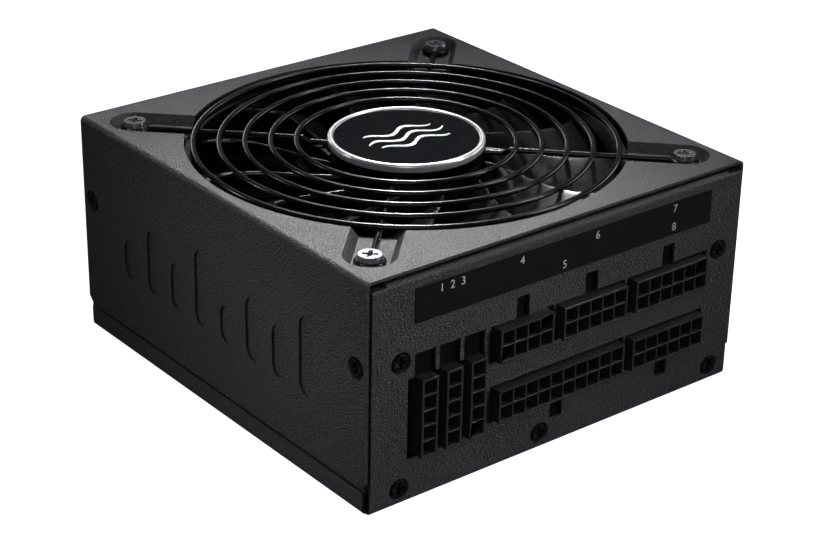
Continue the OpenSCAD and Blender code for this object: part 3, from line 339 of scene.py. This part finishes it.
# %% Finishes inside the case
INSIDE = {
    "contact_brass": ("tinned_brass", "#8d7b4e", "#c2ab6a", 0.2, 0.35, 0.8, 0.01, 1),
    "circuit_board": ("green_solder_resist", "#0c3b22", "#13502f", 0.2, 0.35, 1.5, 0.02),
    "copper": ("bare_copper_strip", "#9d5531", "#c87a4c", 0.25, 0.42, 1.5, 0.01, 1),
    "lamination": ("stacked_silicon_steel", "#55585c", "#7b7f84", 0.3, 0.5, 0.5, 0.02, 1),
    "bearing_bronze": ("sintered_bronze", "#7d5a2c", "#a9803f", 0.35, 0.5, 0.4, 0.02, 1),
    "ground_steel": ("ground_steel", "#a4a8ad", "#c6c9cd", 0.15, 0.28, 0.8, 0.004, 1),
    "magnet_ferrite": ("bonded_ferrite", "#1c1d1f", "#2c2d30", 0.5, 0.65, 0.5, 0.02),
    "wire_sleeve": ("red_pvc_sleeve", "#5c120e", "#7d1d17", 0.35, 0.5, 1, 0.02),
    "header_nylon": ("natural_nylon", "#cfc8b2", "#e4dfcd", 0.4, 0.55, 0.8, 0.02),
    "standoff_brass": ("turned_brass", "#8c6f33", "#b8974d", 0.2, 0.34, 0.6, 0.01, 1),
    "insulator_film": ("milky_polyester_film", "#bdb9a8", "#d6d2c2", 0.3, 0.42, 3, 0.02),
    "capacitor_sleeve": ("blue_shrink_sleeve", "#0d1a38", "#142548", 0.2, 0.32, 3, 0.02),
    "capacitor_can": ("coated_aluminium_can", "#26282b", "#3a3d41", 0.25, 0.4, 2, 0.01, 0.6),
    "film_capacitor": ("yellow_film_capacitor", "#a5821d", "#c79d2b", 0.3, 0.45, 1, 0.02),
    "ferrite": ("sintered_ferrite", "#222427", "#34363a", 0.4, 0.6, 0.5, 0.04),
    "enamel_copper": ("enamelled_copper_wire", "#7c3c1c", "#b0592c", 0.2, 0.34, 0.8, 0.1, 0.9),
    "moulded_epoxy": ("moulded_epoxy_package", "#131416", "#1f2124", 0.4, 0.55, 0.6, 0.02),
    "heatsink_aluminium": ("extruded_aluminium", "#8f9498", "#b9bec2", 0.25, 0.42, 1, 0.02, 1),
    "winding_tape": ("polyester_winding_tape", "#a98a22", "#cbab3a", 0.22, 0.36, 1.5, 0.04),
    "fuse_glass": ("white_fuse_ceramic", "#c9c9c4", "#e5e4df", 0.3, 0.45, 0.6, 0.01),
}
for slot, values in INSIDE.items():
    finishes[slot] = plain(*values)
print(len(INSIDE), "finishes inside the case")

# %% [markdown]
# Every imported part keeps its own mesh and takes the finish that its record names. The board behind the
# sockets has black solder resist instead of green, as such boards often have where they show.

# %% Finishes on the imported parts
for name, part in NODES.items():
    part.data.materials.clear()
    part.data.materials.append(finishes[SLOT_OF[name]])
NODES["socket_board"].data.materials[0] = finishes["black_board"]
print("finishes on", len(NODES), "parts")

# %% [markdown]
# A new piece is shaped as a bmesh, which is Blender's own mesh for editing, and then moves with a body and
# takes a finish: the record's finish for its slot, unless another is given. A helper does this for all of
# them.

# %% Helpers for new pieces
WELD = 0.001 * MM
ROUND_ABOVE = 32
FLAT_BELOW = 0.2


def add_piece(name, shape, body, slot, finish=None, smooth_below=40):
    """Turns a bmesh into a piece that moves with a body."""
    data = bpy.data.meshes.new(name)
    shape.to_mesh(data)
    shape.free()
    data.shade_smooth()
    data.set_sharp_from_angle(angle=math.radians(smooth_below))
    data.materials.append(finish or finishes[slot])
    piece = bpy.data.objects.new(name, data)
    scene.collection.objects.link(piece)
    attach(piece, body)
    return piece


def round_edges(piece, width, segments=2):
    """Rounds the edges that turn by more than ROUND_ABOVE degrees and keeps flat faces flat."""
    rounds = piece.modifiers.new("round_edges", "BEVEL")
    rounds.limit_method = "ANGLE"
    rounds.angle_limit = math.radians(ROUND_ABOVE)
    rounds.width = width
    rounds.segments = segments
    rounds.use_clamp_overlap = True
    flat = piece.modifiers.new("flat_faces_stay_flat", "WEIGHTED_NORMAL")
    flat.keep_sharp = True


def softened(node, width, body="case"):
    """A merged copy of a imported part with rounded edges, which stands for that part."""
    shape = bmesh.new()
    shape.from_mesh(NODES[node].data)
    bmesh.ops.remove_doubles(shape, verts=shape.verts, dist=WELD)
    bmesh.ops.dissolve_limit(shape, angle_limit=math.radians(FLAT_BELOW), verts=shape.verts,
                             edges=shape.edges)
    piece = add_piece("soft_" + node, shape, body, SLOT_OF[node])
    round_edges(piece, width)
    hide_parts(node)
    return piece


print("edges over", ROUND_ABOVE, "degrees get rounds")

# %% [markdown]
# Sheet metal and moulded plastic never have a razor edge: a fine round there catches a thin line of
# light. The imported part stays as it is, so a merged copy of it gets the rounds and stands for it.

# %% Rounded sheet metal, screws and mouldings
SOFT_EDGES_MM = {"top_cover": 0.12, "base_shell": 0.12, "fan_screws": 0.15, "cover_screws": 0.12,
                 "panel_screws": 0.12, "inlet_body": 0.25, "switch_housing": 0.25, "fan_frame": 0.2,
                 "inlet_screws": 0.12}
ROCKER_ROUND = 0.4 * MM
SOFT_EDGES_MM.update({name: 0.1 for name in NODES if name.endswith("_socket")})
for name, width in SOFT_EDGES_MM.items():
    piece = softened(name, width * MM)
    if name == "fan_screws":
        piece.data.materials[0] = finishes["black_nickel"]
softened("switch_rocker", ROCKER_ROUND, "rocker")
print(len(SOFT_EDGES_MM) + 1, "parts with rounded edges")

# %% [markdown]
# The fan's size isn't typed in again. The tunnel that the blades turn in, and the reach of the packed
# impeller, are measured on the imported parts, so new blades keep clear of the frame just as those do.

# %% Room for the impeller
HUB_R, ROOT_SINK = 20.5 * MM, 0.7 * MM
TOP_GAP, FOOT_GAP = 2.2 * MM, 4 * MM
rotor_low, rotor_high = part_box("fan_impeller")
tunnel_low, tunnel_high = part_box("fan_frame")
tip_r = max(v.co.xy.length for v in NODES["fan_impeller"].data.vertices)
root_r = HUB_R - ROOT_SINK
blade_top = tunnel_high.z - TOP_GAP
blade_foot = tunnel_low.z + FOOT_GAP
print("blades from", round(root_r / MM, 1), "to", round(tip_r / MM, 1), "mm from the axis")

# %% [markdown]
# A slim fan's impeller is moulded in one piece: a cup that holds the motor and thin blades that lean
# as they rise. A blade could be lofted from sections, but a flat grid bent by a formula is shorter.
# It is then given a thickness, and one blade is repeated round the hub.

# %% Fan blades
BLADES = 13
BLADE_LAG = 19
BLADE_T, BLADE_ROUND = 1.1 * MM, 0.3 * MM
TIP_RISE = 2.2 * MM
CURL = 0.25
EDGE_TURN, EDGE_SWEEP, EDGE_HOOK = 14, 0.42, 0.034
SWEEP_FROM, HOOK_FROM = 54, 40


def edge_angle(r):
    """Direction of a blade's upper edge at radius r, in degrees. It is swept near the hub."""
    mm = r / MM
    return EDGE_TURN - EDGE_SWEEP * (mm - SWEEP_FROM) + EDGE_HOOK * (mm - HOOK_FROM) ** 2


def add_blade(shape, turn):
    """Adds one thin blade at a turn in degrees."""
    made = bmesh.ops.create_grid(shape, x_segments=20, y_segments=9, size=0.5)
    for vert in made["verts"]:
        share, t = vert.co.x + 0.5, vert.co.y + 0.5
        r = root_r + share * (tip_r - root_r)
        angle = math.radians(turn + edge_angle(r) - t * BLADE_LAG)
        fall = blade_top - blade_foot - TIP_RISE * share
        z = blade_top - fall * (1 - CURL + CURL * t) * t
        vert.co = (r * math.cos(angle), r * math.sin(angle), z)


shape = bmesh.new()
for k in range(BLADES):
    add_blade(shape, 360 * k / BLADES)
bmesh.ops.recalc_face_normals(shape, faces=shape.faces)
for face in shape.faces:
    if face.normal.z < 0:
        face.normal_flip()
blades = add_piece("fan_blades", shape, "rotor", "fan_plastic", smooth_below=60)
thick = blades.modifiers.new("thickness", "SOLIDIFY")
thick.thickness = BLADE_T
thick.offset = -1
round_edges(blades, BLADE_ROUND)
print(BLADES, "blades,", round(BLADE_T / MM, 1), "mm thick")

# %% [markdown]
# The hub is a cup, open below, with a small round on its upper rim. It is a turned shape, so its
# outline is spun about the axis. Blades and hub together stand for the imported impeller.

# %% Fan hub
HUB_WALL, HUB_ROUND, HUB_ROOF = 1.5 * MM, 1.2 * MM, 2 * MM
ROUND_MID = 0.3 * HUB_ROUND


def turned(profile, steps=128):
    """A solid of revolution about Z from (radius, height) points."""
    made = bmesh.new()
    line = [made.verts.new((r, 0, z)) for r, z in profile]
    edges = [made.edges.new(pair) for pair in zip(line, line[1:])]
    bmesh.ops.spin(made, geom=line + edges, axis=(0, 0, 1), cent=(0, 0, 0), angle=math.tau, steps=steps,
                   use_merge=True)
    bmesh.ops.remove_doubles(made, verts=made.verts, dist=WELD)
    bmesh.ops.recalc_face_normals(made, faces=made.faces)
    return made


foot, roof = rotor_low.z, rotor_high.z
hub = add_piece("fan_hub", turned([
    (HUB_R - HUB_WALL, foot), (HUB_R, foot), (HUB_R, roof - HUB_ROUND),
    (HUB_R - ROUND_MID, roof - ROUND_MID), (HUB_R - HUB_ROUND, roof), (0, roof),
    (0, roof - HUB_ROOF), (HUB_R - HUB_WALL, roof - HUB_ROOF), (HUB_R - HUB_WALL, foot)]),
    "rotor", "fan_plastic")
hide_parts("fan_impeller")
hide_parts("fan_impeller")
print("hub", round(2 * HUB_R / MM, 1), "mm wide")

# %% [markdown]
# Many units have a thin film under the fan near the mains panel. This one is assumed and black, put there
# as painted shade: it keeps the light from the vents off the inside, so the inside seen through the fan
# stays dark. It is cut from sheet, so it is one thin box.

# %% Black film under the fan, for painted shade inside
SHADE_FILM_SIDE, SHADE_FILM_REACH, SHADE_FILM_BACK = 3 * MM, 42 * MM, 1 * MM
SHADE_FILM_T, SHADE_FILM_GAP = 0.5 * MM, 0.05 * MM
SHADE_FILM_CORNER = 4 * MM

shape = bmesh.new()
bmesh.ops.create_cube(shape, size=1)
shade_film_low = Vector((tunnel_low.x + SHADE_FILM_SIDE, tunnel_high.y - SHADE_FILM_REACH,
                    tunnel_low.z - SHADE_FILM_GAP - SHADE_FILM_T))
shade_film_high = Vector((tunnel_high.x - SHADE_FILM_SIDE, tunnel_high.y - SHADE_FILM_BACK, tunnel_low.z - SHADE_FILM_GAP))
bmesh.ops.scale(shape, vec=shade_film_high - shade_film_low, verts=shape.verts)
bmesh.ops.translate(shape, vec=(shade_film_low + shade_film_high) / 2, verts=shape.verts)
corners = [e for e in shape.edges if abs(e.verts[0].co.z - e.verts[1].co.z) > SHADE_FILM_T / 2]
bmesh.ops.bevel(shape, geom=corners, offset=SHADE_FILM_CORNER, offset_type="OFFSET", affect="EDGES",
                segments=6, profile=0.5, material=-1)
# the black film under the fan is painted shade for the inside of the case
add_piece("fan_shade_film", shape, "case", "label_film")
print("shade film at z", round(shade_film_low.z / MM, 1))

# %% [markdown]
# The latch slots over and under the sockets look quite black. What lies behind them can't be seen, so a
# matte black film against the back of the panel stands for the dark socket flanges and paints the shade in
# the slots: a thin box per slot, sized from its socket.

# %% Black film for the painted shade behind the latch slots
PANEL_SHEET, FILM_GAP = 0.8 * MM, 0.05 * MM
PANEL_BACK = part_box("base_shell")[0].y + PANEL_SHEET + FILM_GAP
FILM_T, FILM_CORNER = 0.15 * MM, 0.5 * MM
FILM_W, DRIVE_FILM_W = 6 * MM, 7.2 * MM
SLOT_RISE, FILM_TRIM = 7 * MM, 0.1 * MM

shape = bmesh.new()
for name in NODES:
    if not name.endswith("_socket"):
        continue
    low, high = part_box(name)
    wide = DRIVE_FILM_W if "drive" in name else FILM_W
    below = name.startswith(("twenty", "lower"))
    z = low.z - SLOT_RISE / 2 if below else high.z + SLOT_RISE / 2
    made = bmesh.ops.create_cube(shape, size=1)["verts"]
    bmesh.ops.scale(shape, vec=(wide, FILM_T, SLOT_RISE - FILM_TRIM), verts=made)
    bmesh.ops.translate(shape, vec=((low.x + high.x) / 2, PANEL_BACK + FILM_T / 2, z), verts=made)
bmesh.ops.bevel(shape, geom=[e for e in shape.edges if e.calc_length() < 2 * FILM_T], offset=FILM_CORNER,
                offset_type="OFFSET", affect="EDGES", segments=3, profile=0.5, material=-1)
# the matte black film is painted shade in the latch slots
add_piece("slot_shade_film", shape, "case", "label_film", finishes["slot_shade_card"])
print("film at y", round(PANEL_BACK / MM, 2))

# %% [markdown]
# Marks on a unit like this are printed in white. Plain numbers stand over the sockets that they
# belong to, the upper line for the upper row and the lower line for the lower row. They could be a
# texture, but text turned into thin meshes stays sharp at any distance.

# %% Printed numbers
MARK_H = 3.1 * MM
MARK_LIFT = 0.02 * MM
UPPER_DROP, LOWER_DROP = 2.1 * MM, 7.2 * MM
strip_low, strip_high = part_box("label_strip")
upper_line = strip_high.z - UPPER_DROP
lower_line = strip_high.z - LOWER_DROP
MARKS = [("1  2  3", -37.2, upper_line), ("4", -15.1, upper_line), ("6", 10, upper_line),
         ("7", 37.2, upper_line), ("5", -0.9, lower_line), ("8", 37.2, lower_line)]


def add_mark(words, x, z):
    """Prints numbers on the strip, centred at x and z."""
    text = bpy.data.curves.new("mark", "FONT")
    text.body = words
    text.size = MARK_H
    text.align_x, text.align_y = "CENTER", "CENTER"
    text.extrude = MARK_LIFT
    holder = bpy.data.objects.new("mark", text)
    scene.collection.objects.link(holder)
    data = bpy.data.meshes.new_from_object(holder.evaluated_get(bpy.context.evaluated_depsgraph_get()))
    bpy.data.objects.remove(holder)
    shape = bmesh.new()
    shape.from_mesh(data)
    bpy.data.meshes.remove(data)
    bmesh.ops.rotate(shape, verts=shape.verts, cent=(0, 0, 0), matrix=Matrix.Rotation(math.pi / 2, 3, "X"))
    bmesh.ops.translate(shape, verts=shape.verts, vec=(x, strip_low.y, z))
    name = "number_" + words.replace(" ", "")
    add_piece(name, shape, "case", "label_film", finishes["white_print"], smooth_below=20)


for words, x, z in MARKS:
    add_mark(words, x * MM, z)
print(len(MARKS), "groups of numbers")

# %% [markdown]
# A badge like this carries an inlaid mark. Three plain waves stand for it: each is a flat strip bent
# along a sine, thinner towards its ends, and raised a little over the disc.

# %% The badge's waves
WAVES = 3
WAVE_PITCH, WAVE_LEN = 4.2 * MM, 25 * MM
OUTER_SHARE = 0.84
WAVE_SWING, WAVE_STEP = 1.5 * MM, 12.5 * MM
STROKE, STROKE_THINS = 1.3 * MM, 0.7
WAVE_RELIEF = 0.12 * MM

disc_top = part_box("badge_disc")[1].z
shape = bmesh.new()
for k in range(WAVES):
    made = bmesh.ops.create_grid(shape, x_segments=60, y_segments=1, size=0.5)
    middle = (k - (WAVES - 1) / 2) * WAVE_PITCH
    length = WAVE_LEN * (1 if k == 1 else OUTER_SHARE)
    for vert in made["verts"]:
        along = vert.co.x
        taper = STROKE * (1 - (2 * abs(along)) ** 4 * STROKE_THINS)
        swing = WAVE_SWING * math.sin(along * math.tau * length / WAVE_STEP)
        vert.co = (along * length, middle + swing + vert.co.y * taper, disc_top)
raised = bmesh.ops.extrude_face_region(shape, geom=shape.faces)["geom"]
bmesh.ops.translate(shape, vec=(0, 0, WAVE_RELIEF),
                    verts=[v for v in raised if isinstance(v, bmesh.types.BMVert)])
bmesh.ops.recalc_face_normals(shape, faces=shape.faces)
add_piece("badge_waves", shape, "case", "badge_metal", finishes["silver_print"], smooth_below=30)
print(WAVES, "waves on the badge")

# %% [markdown]
# Last, the sizes: the box of what is shown is measured.

# %% Sizes and finish
low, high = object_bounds()
